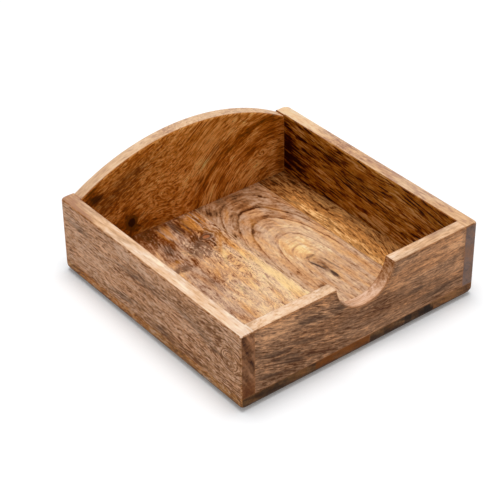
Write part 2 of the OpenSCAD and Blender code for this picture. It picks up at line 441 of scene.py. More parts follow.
class Figure:
    """The grain of one board while its material is made."""

    def __init__(self, sheet, grain_axes, seed):
        self.sheet = sheet
        metres = sheet.parts(sheet.step("TexCoord").outputs["Object"])
        self.along, self.across, self.through = [
            sheet.times(metres[AXES[axis]], MM_PER_M) for axis in grain_axes
        ]
        self.place = sheet.vector(self.along, self.across, self.through)
        self.seed = seed
        self.lane = self.across
        self.run = self.along
        self.depth = self.through
        self.set(wander=6.0, curl=0.0, dashes=0.0, burl=0.0, coarse=1.0, fine=1.0, grit=0.6)
        self.set(short=1.5, pores=0.25, amber=0.25, tone=0.0, end_tone=0.0)
        self.on = {
            "top": dict(TOP_LEVELS), "notch": dict(TOP_LEVELS), "end": dict(END_LEVELS),
            "side": dict(SIDE_LEVELS),
        }
        self.marks = []
        self.normal = sheet.parts(sheet.step("NewGeometry").outputs["Normal"])

    def set(self, **levels):
        """Sets levels of the board's figure by name."""
        for name, value in levels.items():
            setattr(self, name, value)

    def oval(self, centre, radii):
        """An oval given along and across the board, which runs right through it."""
        return {"Place": self.place, "Centre": (*centre, 0.0), "Radii": (*radii, ALL_THROUGH)}

    def patch(self, centre, radii, turn_deg=0.0, ragged=1.5, core=0.2, grain=(0.06, 0.4, 0.2)):
        """The mask of a soft oval, whose centre and radii are along and across the board."""
        values = self.oval(centre, radii)
        values.update(Turn=math.radians(-turn_deg), Ragged=ragged, Core=core, Grain=grain)
        return place_group(self.sheet, patch_group, values)["Mask"]

    def swirl(self, per_mm, low=0.42, high=0.58):
        """Marbled shares of a patch, from 0 to 1."""
        return place_group(
            self.sheet, marbling_group,
            {"Place": self.place, "Grain": per_mm, "Low": low, "High": high},
        )["Share"]

    def ripple(self, per_mm, detail):
        """Smooth noise about 0, with so many bumps per millimetre each way of the board."""
        return self.sheet.ripple(self.sheet.scaled(self.place, per_mm), detail)

    def knot(self, centre, radii, push):
        """A knot that the grain flows round. The push is the share of its width."""
        values = dict(self.oval(centre, radii), Push=-push)
        knot = place_group(self.sheet, knot_group, values)
        self.lane = self.sheet.add(self.lane, knot["Aside"])
        return knot

    def shade(self, mask, tone=0.0, dashes=0.0, curl=0.0, burl=0.0):
        """Adds to the tone, the dashes, the curl and the burl where the mask is."""
        for name, added in (("tone", tone), ("dashes", dashes), ("curl", curl), ("burl", burl)):
            if added:
                setattr(self, name, self.sheet.plus_times(mask, added, getattr(self, name)))

    def mark(self, mask, tint, share):
        """Lays a share of a colour over the wood where the mask is."""
        self.marks.append((self.sheet.times(mask, share), tint))


def streaks(figure, places, tint, share):
    """Bundles of thin dark streaks, each given as centre, radii and turn in degrees."""
    for centre, radii, turn_deg in places:
        bundle = figure.patch(
            centre, radii, turn_deg, ragged=3.2, core=0.0, grain=(0.06, 0.85, 0.3)
        )
        figure.mark(bundle, tint, share)


def licks(figure, places):
    """Licks of colour along the grain: centre, radii, turn in degrees, colour and share."""
    for centre, radii, turn_deg, tint, share in places:
        lick = figure.patch(centre, radii, turn_deg, ragged=1.8, core=0.1, grain=(0.1, 0.5, 0.3))
        figure.mark(lick, tint, share)


def end_grain(figure, turn_deg, strength, rings_per_mm=0.42):
    """The tone of the slanting rings on the ends of a board."""
    return place_group(
        figure.sheet, end_group,
        {
            "Across": figure.across, "Through": figure.through, "Seed": figure.seed,
            "Turn": math.radians(turn_deg), "Rings": rings_per_mm, "Strength": strength,
        },
    )["Tone"]


def shade_patches(figure, patches):
    """Patches: centre, radii, turn in degrees, and the tone, dashes, curl and burl they add."""
    for centre, radii, turn_deg, *added in patches:
        figure.shade(figure.patch(centre, radii, turn_deg), *added)


def wood_material(name, figure_of, grain_axes, seed, zones, tones):
    """The oiled wood of one board: its figure, a palette for each of its faces, and painted shade
    on the rim under the base.
    """
    material = bpy.data.materials.new(name)
    material.use_nodes = True
    tree = material.node_tree
    tree.nodes.clear()
    sheet = Sheet(tree)
    figure = Figure(sheet, grain_axes, seed)
    figure_of(figure)
    masks = zones(sheet, figure.normal, figure)

    def level(kind):
        value = getattr(figure, kind)
        for side, mask in masks:
            changed = figure.on.get(side, {}).get(kind)
            if changed is not None:
                value = sheet.plus_times(mask, sheet.less(changed, value), value)
        return value

    values = {kind.capitalize(): level(kind) for kind in FIBRE_LEVELS}
    values.update(Place=figure.place, Seed=seed, Wander=figure.wander)
    values.update(Along=figure.run, Across=figure.lane, Through=figure.depth)
    fibre = place_group(sheet, fibre_group, values)
    tone = sheet.add(fibre["Tone"], level("tone"))
    if "end" in tones:
        tone = sheet.plus_times(dict(masks)["end"], figure.end_tone, tone)
    base = sheet.ramp(tone, tones["face"])
    for side, mask in masks:
        base = sheet.blend(mask, base, sheet.ramp(tone, tones[side]))
    drift = place_group(sheet, amber_group, {"Place": figure.place})["Share"]
    base = sheet.blend(sheet.times(drift, level("amber")), base, AMBER, "MULTIPLY")
    for mask, tint in figure.marks:
        base = sheet.blend(mask, base, tint)
    edge = place_group(sheet, edge_wear_and_shade_group, {})
    # Painted shade: the rim that turns under the base is darkened as if in the shadow at the floor
    base = sheet.blend(sheet.times(edge["Painted Under Shade"], PAINTED_UNDER_SHADE_SHARE), base, PAINTED_UNDER_SHADE)
    base = sheet.blend(sheet.times(fibre["Pore"], level("pores")), base, PORE_BROWN)
    eased = edge["Eased"]
    if "notch" in tones:
        eased = sheet.times(eased, sheet.less(1.0, dict(masks)["notch"]))
    worn = sheet.math("MAXIMUM", edge["Worn"], eased)
    base = sheet.blend(sheet.times(worn, WORN_SHARE), base, WORN_BROWN)
    bump = sheet.step(
        "Bump",
        {"Height": fibre["Relief"], "Strength": FIBRE_STRENGTH, "Distance": FIBRE_RELIEF_M},
    ).outputs[0]
    roughness = sheet.add(
        OIL_ROUGHNESS,
        sheet.times(fibre["Relief"], FIBRE_ROUGHNESS),
        sheet.times(worn, WORN_ROUGHNESS),
    )
    shader = sheet.step(
        "BsdfPrincipled",
        {
            "Base Color": base, "Roughness": roughness, "Normal": bump,
            "Specular IOR Level": OIL_SPECULAR,
        },
    )
    leave = sheet.step("OutputMaterial")
    tree.links.new(shader.outputs[0], leave.inputs[0])
    return material


def dress(node, material):
    """Gives a CAD node its material."""
    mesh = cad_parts[node].data
    mesh.materials.clear()
    mesh.materials.append(material)


# Tones of the wood, with the colours of the shade and the highlight painted on it

GREY_BROWN = palette(
    (117, 68, 28), (150, 104, 66), (191, 140, 100), (207, 167, 138), (226, 178, 143)
)
SIDE_BROWN = palette((109, 61, 23), (136, 89, 45), (174, 115, 58), (190, 142, 95), (195, 167, 146))
FRONT_BROWN = palette((89, 50, 20), (124, 84, 55), (147, 108, 79), (193, 140, 100), (230, 171, 123))
DEEP_ORANGE = palette((118, 67, 4), (161, 82, 4), (203, 123, 39), (244, 173, 96), (255, 228, 142))
DARK_STREAK = palette((41, 3, 0), (112, 48, 2), (161, 99, 12), (184, 124, 45), (210, 163, 103))
OUTER_BROWN = palette((86, 52, 28), (118, 80, 52), (144, 103, 73), (164, 122, 91), (186, 143, 109))
INNER_WARM = palette((84, 40, 8), (116, 64, 20), (142, 86, 38), (166, 108, 56), (194, 138, 84))
NOTCH_WARM = palette((98, 50, 12), (124, 70, 28), (150, 96, 52), (196, 146, 108), (234, 196, 168))
SANDED = palette(
    (173, 132, 107), (200, 161, 127), (227, 190, 156), (237, 210, 187), (248, 232, 205)
)
SANDED_DARK = palette(
    (156, 120, 96), (181, 141, 120), (210, 173, 138), (227, 191, 156), (231, 207, 174)
)
BURL = palette((77, 40, 8), (118, 65, 23), (203, 164, 136), (247, 209, 160), (229, 216, 161))
CATHEDRAL = palette((75, 37, 12), (159, 112, 74), (203, 163, 132), (232, 193, 150), (254, 242, 196))
WAVY = palette((58, 26, 2), (112, 60, 17), (159, 112, 64), (201, 140, 77), (249, 197, 133))
REDDISH_END = palette((27, 8, 2), (61, 27, 6), (113, 72, 42), (147, 101, 69), (187, 132, 93))
PURPLISH_END = palette((63, 42, 31), (88, 65, 59), (122, 101, 93), (147, 111, 91), (100, 51, 40))
DARK_END = palette((42, 24, 12), (62, 39, 20), (84, 57, 32), (108, 76, 45), (134, 97, 62))
BLACK_END = palette((24, 14, 8), (44, 28, 16), (72, 48, 28), (100, 70, 42), (136, 98, 64))
BROWN_END = palette((60, 36, 20), (88, 56, 32), (120, 80, 46), (146, 100, 60), (170, 122, 80))

PORE_BROWN = colour(60, 32, 14)
KNOT_ORANGE = colour(172, 102, 62)
KNOT_DARK = colour(84, 50, 30)
KNOT_BLACK = colour(48, 18, 4)
CRACK_DARK = colour(64, 44, 36)
SMOKE_GREY = colour(126, 90, 66)
SMOKE_DARK = colour(96, 56, 22)
GOLD = colour(212, 136, 50)
END_ORANGE = colour(140, 78, 34)
EDGE_ORANGE = colour(132, 69, 4)
PALE_GOLD = colour(255, 218, 148)
HONEY = colour(206, 138, 64)
STREAK_PINK = colour(170, 118, 80)
STREAK_GREY = colour(104, 80, 62)
STREAK_BROWN = colour(78, 54, 38)
JOINT_PALE = colour(222, 182, 134)
JOINT_DARK = colour(92, 56, 30)
WORN_BROWN = colour(160, 104, 62)
AMBER = colour(255, 214, 140)
# Painted shade for the rim that turns under the base
PAINTED_UNDER_SHADE = colour(40, 24, 12)
BLOCK_BLACK = colour(26, 16, 12)
# Pale sanded wood of the notch foot, partly a painted highlight
NOTCH_PALE_AND_HIGHLIGHT = colour(214, 170, 142)

# Shares and finish of the oiled wood, with the share of the painted shade under the base
PAINTED_UNDER_SHADE_SHARE = 0.72
WORN_SHARE = 0.45
OIL_SPECULAR = 0.06
OIL_ROUGHNESS = 0.47
FIBRE_ROUGHNESS = 0.25
WORN_ROUGHNESS = -0.06
FIBRE_STRENGTH = 0.3
FIBRE_RELIEF_M = 0.00025

# The rings of the middle stave: their line across the board and its drift, the foot they rise
# from, how fast they widen to each side and close upwards, and how square their tops are
RING_LINE = 24.6
RING_DRIFT = 0.03
RING_FOOT = -15.0
RING_RIGHT = 0.82
RING_LEFT = 0.83
RING_RISE = 0.3
RING_POWER = 2.2
RING_TONES = (
    (0.0, 0.54), (3.0, 0.55), (3.3, 0.3), (3.8, 0.5), (6.5, 0.58), (6.8, 0.36), (7.2, 0.54),
    (10.0, 0.57), (10.3, 0.22), (10.9, 0.45), (13.0, 0.52), (15.6, 0.52), (15.9, 0.16),
    (16.5, 0.4), (18.8, 0.5), (19.1, 0.16), (19.8, 0.4), (22.9, 0.48), (23.2, 0.26),
    (23.8, 0.44), (32.0, 0.46),
)

# The flame figure of the back wall: what its arcs turn about, along and across the board
FLAME_ALONG = 60.0
FLAME_ACROSS = -5.0

# Where the front edge of the base board turns orange, across the left stave
BASE_EDGE_TURN = -30.0

# The figure of each board, in millimetres along and across it

def left_wall_figure(figure):
    """Level dashes in grey brown, dark clusters at the middle and a curly front end."""
    sheet = figure.sheet
    figure.set(wander=5.0, dashes=0.35, fine=1.35, coarse=0.8)
    figure.lane = sheet.times(figure.across, 1.2)
    figure.end_tone = end_grain(figure, 62.0, 1.5, 0.3)
    figure.knot((-66, 26), (5.0, 4.0), 2.4)
    streaks(figure, (
        ((8, 32), (26, 5), -4), ((21, 13), (14, 4), -6), ((-10, 11), (12, 4), -4),
        ((60, 34), (16, 4), 0), ((-40, 30), (22, 5), 8), ((40, 6), (24, 3), -3),
    ), STREAK_GREY, 0.5)
    shade_patches(figure, (
        ((6, 32), (26, 6), -4, -0.02, 0.5),
        ((21, 14), (13, 5), -6, -0.04, 0.6),
        ((-9, 11), (11, 5), -4, -0.04, 0.6),
        ((58, 33), (15, 5), 0, -0.05, 0.6),
        ((-56, 24), (28, 20), 0, -0.1, 0.5, 3.5),
        ((-22, 22), (20, 14), 0, -0.02, 0.3, 2.0),
        ((45, 24), (28, 7), 0, 0.1, -0.5),
        ((50, 40), (30, 4), 0, 0.06, -0.3),
        ((10, 39), (34, 6), 0, 0.12, -0.2),
        ((62, 22), (14, 16), 0, 0.07),
        # Painted shade: darker low on the front half, towards the floor
        ((-30, 9), (50, 7), 0, -0.26, 0.3),
    ))
    low_end = sheet.times(ends(sheet, figure.normal[1]), sheet.fade(figure.across, 20.0, 10.0))
    figure.mark(low_end, END_ORANGE, 0.4)
    figure.on["top"]["tone"] = sheet.add(
        sheet.fade(figure.along, -4.0, 20.0, 0.1, -0.14),
        sheet.fade(figure.along, 38.0, 66.0, 0.0, -0.3),
    )


def right_wall_figure(figure):
    """Strong dark streaks that fall gently towards the front, almost black at the back, where
    painted shade darkens the inside corner by the back wall.
    """
    sheet = figure.sheet
    figure.set(wander=7.0, dashes=0.7, fine=1.4, coarse=0.8, grit=0.3, short=0.75)
    figure.end_tone = end_grain(figure, 50.0, 0.5)
    figure.lane = sheet.plus_times(figure.along, -0.1, figure.across)
    streaks(figure, (
        ((58, 22), (18, 9), 0), ((24, 37), (18, 5), -10), ((10, 29), (30, 5), -5),
        ((50, 30), (20, 5), -8),
    ), KNOT_BLACK, 0.34)
    shade_patches(figure, (
        ((58, 22), (20, 14), 0, -0.2, 0.6),
        # Painted shade: darker down the inside corner by the back wall
        ((66, 22), (9, 26), 0, -0.25, 0.4),
        ((62, 30), (8, 6), 0, -0.18, 0.2),
        ((14, 14), (26, 7), 0, -0.08),
        ((50, 40), (16, 5), 0, 0.12),
        ((22, 38), (13, 6), -14, -0.16, 0.8),
        ((12, 12), (18, 7), -6, 0.14, -0.3),
        ((-30, 30), (34, 9), -6, 0.1, 0.3),
        ((-25, 14), (36, 10), -6, 0.26, 0.1),
        ((10, 41), (60, 5), 0, 0.16),
        ((18, 29), (34, 6), -4, -0.12, 0.2),
        ((4, 46), (22, 3), 0, 0.0, 0.0, 4.0),
        ((-44, 46), (18, 3), 0, 0.0, 0.0, 3.0),
    ))
    arcs = sheet.vector(
        sheet.times(figure.along, 0.16),
        sheet.plus_times(figure.along, 0.05, sheet.times(figure.through, 0.42)),
        0.0,
    )
    wave = sheet.near(sheet.math("FRACT", sheet.times(sheet.noise(arcs, 1.0), 5.0)), 0.5, 0.3)
    waves = sheet.times(sheet.near(figure.along, 20.0, 24.0), sheet.times(wave, -0.26))
    figure.on["top"]["tone"] = sheet.add(sheet.fade(figure.along, 16.0, 66.0, -0.04, 0.28), waves)


def front_wall_figure(figure):
    """Streaks that fall to the right on the left half and run level on the right."""
    sheet = figure.sheet
    figure.set(wander=5.0, dashes=0.5)
    figure.fine = sheet.fade(figure.along, -26.0, -4.0, 1.1, 0.8)
    figure.pores = 0.16
    figure.coarse = sheet.fade(figure.along, -26.0, -4.0, 0.7, 0.5)
    figure.short = 1.4
    fall = sheet.math("SMOOTH_MIN", sheet.add(figure.along, 5.0), 0.0, 25.0)
    figure.lane = sheet.times(sheet.plus_times(fall, 0.33, figure.across), 1.3)
    streaks(figure, (
        ((-54, 25), (17, 2.2), -17), ((-42, 16), (20, 2.4), -18), ((-34, 35), (14, 4), -16),
        ((-57, 14), (14, 1.8), -14), ((-36, 24), (14, 2), -18), ((-10, 33), (14, 4), -10),
        ((36, 21), (16, 2.4), -4), ((50, 14), (20, 3), 2), ((-46, 20), (12, 1.6), -17),
    ), STREAK_BROWN, 0.66)
    shade_patches(figure, (
        ((-55, 39), (18, 8), 0, 0.3, -0.6),
        ((-46, 20), (26, 7), -19, -0.05, 0.8),
        ((-34, 35), (12, 5), -16, -0.08, 0.6, 1.0),
        ((7, 21), (26, 10), 0, -0.1, 0.7, 2.5),
        ((-12, 33), (14, 6), -10, -0.1, 0.9),
        ((48, 34), (28, 10), 0, 0.13, -0.4),
        ((52, 13), (26, 6), 0, -0.06, 0.6),
        ((-20, 12), (24, 5), -8, -0.1, 0.7),
        ((21, 31), (9, 5), 0, 0.2),
        ((62, 38), (9, 7), 0, 0.28, -0.2),
        ((-40, 39), (14, 5), 0, 0.12),
        ((-43, 14), (10, 4), -18, -0.22, 0.3),
        ((-24, 28), (12, 8), 0, -0.08),
        ((62, 22), (8, 8), 0, 0.12),
        ((-14, 24), (12, 10), 0, -0.1, 0.1),
        ((-46, 13), (12, 4), -18, -0.12, 0.2),
        ((32, 14), (14, 5), 0, -0.08, 0.1),
    ))
    figure.on["top"]["tone"] = sheet.fade(figure.along, 20.0, 50.0, 0.04, -0.16)
    # The upward foot of the thumb notch: paler sanded wood, partly a painted highlight, lifted in
    # tone and laid over with pale pink
    foot = sheet.times(
        sheet.fade(figure.normal[2], 0.4, 1.0),
        sheet.fade(figure.across, WALL_TOP - 6.0, WALL_TOP - 9.0),
    )
    figure.on["notch"].update(
        fine=0.6, coarse=0.7, short=0.6, grit=0.0, tone=sheet.times(foot, 0.24)
    )
    figure.mark(foot, NOTCH_PALE_AND_HIGHLIGHT, 0.3)


def back_wall_figure(figure):
    """Flame figure: arcs about the lower right corner and diagonal streaks on the left."""
    sheet = figure.sheet
    figure.set(wander=3.0, amber=0.1, dashes=0.75)
    figure.curl = sheet.fade(figure.along, 24.0, -8.0, 0.6, 1.7)
    figure.set(fine=0.8, coarse=0.42, grit=0.3)
    figure.short = sheet.fade(figure.along, 24.0, -8.0, 1.2, 2.0)
    figure.pores = 0.35
    aside = sheet.times(sheet.less(FLAME_ALONG, figure.along), 0.92)
    above = sheet.less(figure.across, FLAME_ACROSS)
    arc = sheet.length(sheet.vector(aside, above, 0.0))
    climb = sheet.plus_times(figure.along, -0.42, sheet.add(figure.across, 29.0))
    left_share = sheet.fade(figure.along, 16.0, -26.0)
    lane = sheet.add(
        sheet.times(arc, sheet.less(1.0, left_share)), sheet.times(climb, left_share)
    )
    figure.lane = sheet.times(lane, 1.25)
    figure.run = sheet.plus_times(figure.across, 0.4, figure.along)
    knot = figure.knot((-37, 17), (2.8, 3.4), 1.6)
    eye = figure.knot((-15, 26), (3.2, 2.8), 1.4)
    swirl = figure.knot((51, 26), (2.6, 2.0), 1.0)
    figure.shade(knot["Rim"], -0.3, 0.8)
    for ring, tone in ((0.5, -0.2), (1.7, -0.13), (2.5, -0.1)):
        figure.shade(sheet.near(eye["Reach"], ring, 0.4), tone)
        figure.shade(sheet.near(swirl["Reach"], ring, 0.4), tone * 0.6)
    streaks(figure, (
        ((-46, 40), (20, 6), 24), ((-30, 48), (20, 5), 22), ((-52, 33), (14, 5), 26),
        ((18, 40), (20, 4), 40), ((8, 24), (14, 3), 60),
    ), KNOT_BLACK, 0.32)
    figure.shade(sheet.near(arc, 52.0, 3.4), -0.16, 0.6)
    figure.shade(sheet.near(arc, 45.5, 3.4), 0.12, -0.5)
    figure.shade(sheet.near(arc, 66.0, 4.0), 0.08, -0.3)
    figure.shade(sheet.near(arc, 38.0, 1.8), -0.1, 0.4)
    figure.shade(sheet.near(arc, 58.5, 3.5), 0.08)
    shade_patches(figure, (
        ((-60, 42), (8, 7), 0, -0.3, 1.2),
        ((-25, 14), (9, 6), 0, -0.14, 0.2),
        ((-44, 37), (22, 10), 24, 0.0, 0.9),
        ((-2, 54), (14, 7), 0, -0.06),
        ((12, 34), (9, 7), 0, 0.05, -0.1),
        ((23, 25), (4, 12), -35, -0.12, 0.2),
        ((36, 38), (12, 4), 35, -0.12, 0.2),
        ((-38, 24), (8, 6), 0, -0.14, 0.2),
        ((-34, 54), (14, 5), 20, -0.1, 0.2),
        ((59, 42), (12, 8), 0, -0.2, 0.3),
        # Painted shade: darker down the inside corner by the right wall
        ((64, 20), (5, 20), 0, -0.16),
        ((-20, 30), (24, 12), 24, 0.08, 0.0, 2.0, 0.4),
        ((-42, 14), (18, 10), 0, -0.2, 1.0, 2.0, 0.3),
        ((42, 18), (16, 12), 40, 0.08, -0.3, 1.0),
    ))
    shadow = figure.patch((-36, 41), (28, 10), 22, 1.6, 0.2, (0.06, 0.5, 0.3))
    figure.mark(sheet.times(shadow, figure.swirl((0.06, 0.5, 0.3))), SMOKE_DARK, 0.3)
    figure.mark(figure.patch((-58, 40), (6, 4), 30, 1.6), KNOT_BLACK, 0.7)
    figure.mark(knot["Eye"], KNOT_BLACK, 0.95)
    for centre, radii, turn_deg in (
        ((-32, 13), (5, 1.0), -40), ((-40.5, 21.5), (4, 1.2), 62), ((-30.5, 19), (3.4, 0.9), 28),
        ((-38, 11.5), (3.2, 1.0), 80),
    ):
        figure.mark(figure.patch(centre, radii, turn_deg, 0.8), KNOT_BLACK, 0.6)


def left_stave_figure(figure):
    """A swirly burl: a small knot in a smoky cloud, gold behind it and pale at the right."""
    sheet = figure.sheet
    figure.set(wander=6.0, coarse=0.45)
    figure.fine = sheet.fade(figure.across, -26.0, -8.0, 0.42, 0.7)
    figure.set(grit=0.35, short=1.2, pores=0.08)
    figure.burl = sheet.fade(figure.across, -28.0, -8.0, 0.24, 0.4)
    figure.curl = 1.4
    figure.amber = sheet.add(
        sheet.times(figure.patch((36, -3), (26, 9)), 0.5),
        sheet.times(figure.patch((58, -18), (14, 24)), 0.5), 0.5,
    )
    figure.end_tone = end_grain(figure, 75.0, 1.7, 0.3)
    figure.lane = sheet.plus_times(figure.along, -0.12, figure.across)
    # The first fade is painted shade: darker towards the back wall
    figure.tone = sheet.add(
        sheet.fade(figure.along, 72.0, 40.0, -0.26, -0.02),
        sheet.fade(figure.across, -34.0, -8.0, -0.04, 0.05),
        sheet.fade(figure.along, 10.0, -30.0, 0.0, 0.07),
    )
    knot = figure.knot((42.8, -6.6), (1.5, 2.4), 2.2)
    cloud = figure.patch((35, -16), (10, 14), 30, 1.3, 0.35, (0.2, 0.2, 0.2))
    haze = figure.patch((26.5, -35), (4, 8), 10, 1.3, 0.3, (0.2, 0.2, 0.2))
    gold = figure.patch((58, -1.5), (14, 6.5), -4, 1.2, 0.4, (0.06, 0.6, 0.3))
    smoke = figure.swirl((0.16, 0.2, 0.2))
    figure.shade(cloud, -0.02, 0.0, 3.0, 0.4)
    figure.shade(haze, -0.08, 0.0, 2.0, 0.4)
    figure.shade(gold, 0.06, 0.3)
    shade_patches(figure, (
        ((57, -30), (12, 12), 0, -0.04, 0.4, 1.0, 0.3),
        ((10, -8), (26, 9), 0, 0.05, -0.15, 3.0, 0.6),
        ((-14, 0), (28, 4), 0, 0.08, -0.3, -1.0, -0.2),
        ((-16, -40), (24, 3), 0, -0.06, 0.4),
        ((44, -8), (20, 18), 0, -0.18),
        ((46, -25), (10, 8), 0, -0.14),
        ((37, -33), (10, 9), 0, -0.16),
        ((28, -27), (8, 8), 0, -0.14),
        ((10, -27), (16, 5), 0, -0.12),
        ((-6, -24), (26, 9), 6, 0.0, -0.15, 2.4, 0.4),
        ((-28, -16), (10, 14), 0, 0.0, -0.1, 2.5, 0.3),
    ))
    broken = figure.swirl((0.22, 0.3, 0.3), 0.4, 0.56)
    for ring in (2.4, 3.7):
        figure.shade(sheet.times(sheet.near(knot["Reach"], ring, 0.55), broken), -0.16)
    figure.mark(sheet.times(cloud, smoke), SMOKE_GREY, 0.85)
    figure.mark(sheet.times(haze, figure.swirl((0.16, 0.2, 0.2), 0.3, 0.5)), SMOKE_GREY, 0.85)
    figure.mark(sheet.times(gold, figure.swirl((0.05, 0.5, 0.3), 0.42, 0.6)), GOLD, 0.75)
    figure.mark(figure.patch((-12, 0.5), (34, 4), 0, 1.2, 0.2), PALE_GOLD, 0.5)
    figure.mark(figure.patch((36, 0), (26, 6), 0, 1.4, 0.1), HONEY, 0.34)
    licks(figure, (
        ((34, -4.5), (14, 2.4), 33, HONEY, 0.7), ((24, -9), (12, 1.8), 30, PALE_GOLD, 0.5),
        ((18, -2), (12, 1.6), 14, PALE_GOLD, 0.5), ((-14, -7.6), (16, 1.1), 7, STREAK_PINK, 0.6),
        ((-2, -11), (12, 1.2), 8, STREAK_PINK, 0.45), ((7, -29.5), (10, 2.4), 0, SMOKE_GREY, 0.5),
        ((-6, -20.5), (10, 1.8), 4, SMOKE_GREY, 0.45), ((39.4, -15), (6, 2.0), 40, KNOT_DARK, 0.6),
        ((35, -22), (5, 1.6), -30, KNOT_DARK, 0.5), ((46, -11), (5, 1.5), 20, KNOT_DARK, 0.6),
        ((-16, -2), (16, 1.4), 3, PALE_GOLD, 0.5), ((59, -20.6), (13, 2.6), 3, HONEY, 0.75),
        ((59, -24.4), (12, 1.2), 0, GOLD, 0.5), ((58, -7), (12, 2.4), -6, HONEY, 0.8),
        ((56, -10.8), (9, 1.0), 0, GOLD, 0.6),
        ((13, -22), (8, 2.2), 24, HONEY, 0.5), ((33, -33), (3, 6), 0, HONEY, 0.4),
        ((-7, -14), (12, 1.4), 9, PALE_GOLD, 0.4), ((-22, -30), (10, 2.0), 6, HONEY, 0.4),
    ))
    streaks(figure, (
        ((58, -14.2), (13, 2.8), -3), ((60, -15.5), (12, 1.4), 0), ((56, -9.4), (10, 0.9), 5),
        ((44, -30), (8, 3), 20),
    ), KNOT_DARK, 0.85)
    figure.mark(sheet.near(knot["Reach"], 1.3, 0.8), KNOT_DARK, 0.8)
    figure.mark(knot["Eye"], KNOT_ORANGE, 0.85)
    front_end = sheet.times(
        ends(sheet, figure.normal[1]),
        sheet.fade(figure.across, BASE_EDGE_TURN - 0.3, BASE_EDGE_TURN + 0.3),
    )
    amount = sheet.times(
        sheet.fade(figure.through, 1.5, 6.5, 0.45, 1.0), figure.swirl((0.1, 0.16, 0.4), 0.2, 0.6)
    )
    figure.mark(sheet.times(front_end, sheet.plus_times(amount, 0.75, 0.25)), EDGE_ORANGE, 0.8)
    joint_lines(figure)


def middle_stave_figure(figure):
    """Nested cathedral rings about one line, with a dark crack near their foot."""
    sheet = figure.sheet
    figure.set(wander=1.5, coarse=0.25, fine=0.6, grit=0.6)
    figure.set(short=1.2, pores=0.12, amber=0.5, dashes=-0.2)
    figure.end_tone = end_grain(figure, 75.0, 1.7, 0.3)
    aside = sheet.less(figure.across, sheet.plus_times(figure.along, RING_DRIFT, RING_LINE))
    aside = sheet.math("MAXIMUM", sheet.times(aside, RING_RIGHT), sheet.times(aside, -RING_LEFT))
    rise = sheet.times(sheet.less(figure.along, RING_FOOT), RING_RISE)
    rise = sheet.math("MAXIMUM", rise, 0.0)
    ring = sheet.math(
        "POWER",
        sheet.add(sheet.math("POWER", aside, RING_POWER), sheet.math("POWER", rise, RING_POWER)),
        1.0 / RING_POWER,
    )
    slow = figure.ripple((0.03, 0.06, 0.06), 1.0)
    quick = figure.ripple((0.2, 0.35, 0.35), 2.0)
    ring = sheet.add(ring, sheet.times(slow, 2.4), sheet.times(quick, 0.6))
    figure.lane = ring
    figure.depth = sheet.plus_times(figure.across, 0.12, figure.through)
    level = sheet.profile(ring, RING_TONES)
    strength = sheet.fade(figure.along, -22.0, 8.0, 0.45, 1.0)
    shimmer = figure.ripple((0.55, 0.14, 0.14), 1.0)
    # The fade from 72 mm along is painted shade: darker towards the back wall
    figure.tone = sheet.add(
        sheet.times(sheet.less(level, 0.46), strength),
        sheet.times(shimmer, 0.14),
        sheet.fade(figure.along, 72.0, 10.0, -0.28, 0.03),
        sheet.fade(figure.along, 6.0, -26.0, 0.0, -0.1),
    )
    shade_patches(figure, (
        ((-14, 24.5), (14, 5), 0, -0.1, 0.4),
        ((-30, 13), (5, 5), 0, -0.2, 0.4, 1.0),
        ((-22, 42), (24, 5), 0, 0.1, -0.2),
        ((0, 25), (12, 5), 0, 0.1, -0.2, 0.0, 0.2),
        ((-5, 9), (26, 5), 0, -0.06, 0.2, 1.0, 0.2),
        ((27, 16), (7, 5), 0, -0.14, 0.2),
        ((59, 9), (6, 5), 0, -0.14, 0.2),
        ((46, 29), (8, 9), 0, 0.1),
        ((-27, 24), (10, 7), 0, 0.1),
    ))
    figure.mark(figure.patch((39, 19), (7, 6), 0, 1.4, 0.1, (0.1, 0.4, 0.3)), GOLD, 0.4)
    licks(figure, (
        ((52, 14), (11, 2.0), 38, HONEY, 0.55), ((-20, 42), (14, 1.8), 0, HONEY, 0.45),
        ((-14, 34.5), (14, 2.4), -3, HONEY, 0.4), ((3, 17.5), (11, 2.2), 8, HONEY, 0.45),
        ((28, 11.5), (12, 2.4), 14, HONEY, 0.45), ((42, 37), (9, 1.8), -28, HONEY, 0.4),
        ((7, 25.5), (6, 2.0), 0, JOINT_PALE, 0.4),
    ))
    figure.mark(figure.patch((-15, 24), (15, 5.5), 0, 1.0, 0.0), KNOT_DARK, 0.28)
    for centre, radii, turn_deg, share in (
        ((-14, 22.0), (9.5, 1.0), -13, 0.85), ((-15.5, 29.0), (11, 0.8), -5, 0.5),
        ((-5.8, 24.6), (1.1, 4.4), 0, 0.5), ((-25.5, 24.3), (6.5, 1.7), 4, 0.95),
        ((-17.5, 25.0), (6.0, 0.8), 4, 0.6),
    ):
        crack = figure.patch(centre, radii, turn_deg, 1.3, 0.35, (0.12, 0.5, 0.3))
        figure.mark(crack, CRACK_DARK, share)
    figure.mark(figure.patch((-30, 12.5), (2.2, 2.0), 0, 0.8, 0.3), KNOT_DARK, 0.5)
    for across, reach, share in ((30.0, 3.0, 0.75), (43.0, 2.8, 0.8), (16.0, 3.0, 0.4)):
        block = figure.patch((-75, across), (4.0, reach), 0, 0.6, 0.5)
        figure.mark(sheet.times(block, ends(sheet, figure.normal[1])), BLOCK_BLACK, share)
    joint_lines(figure)


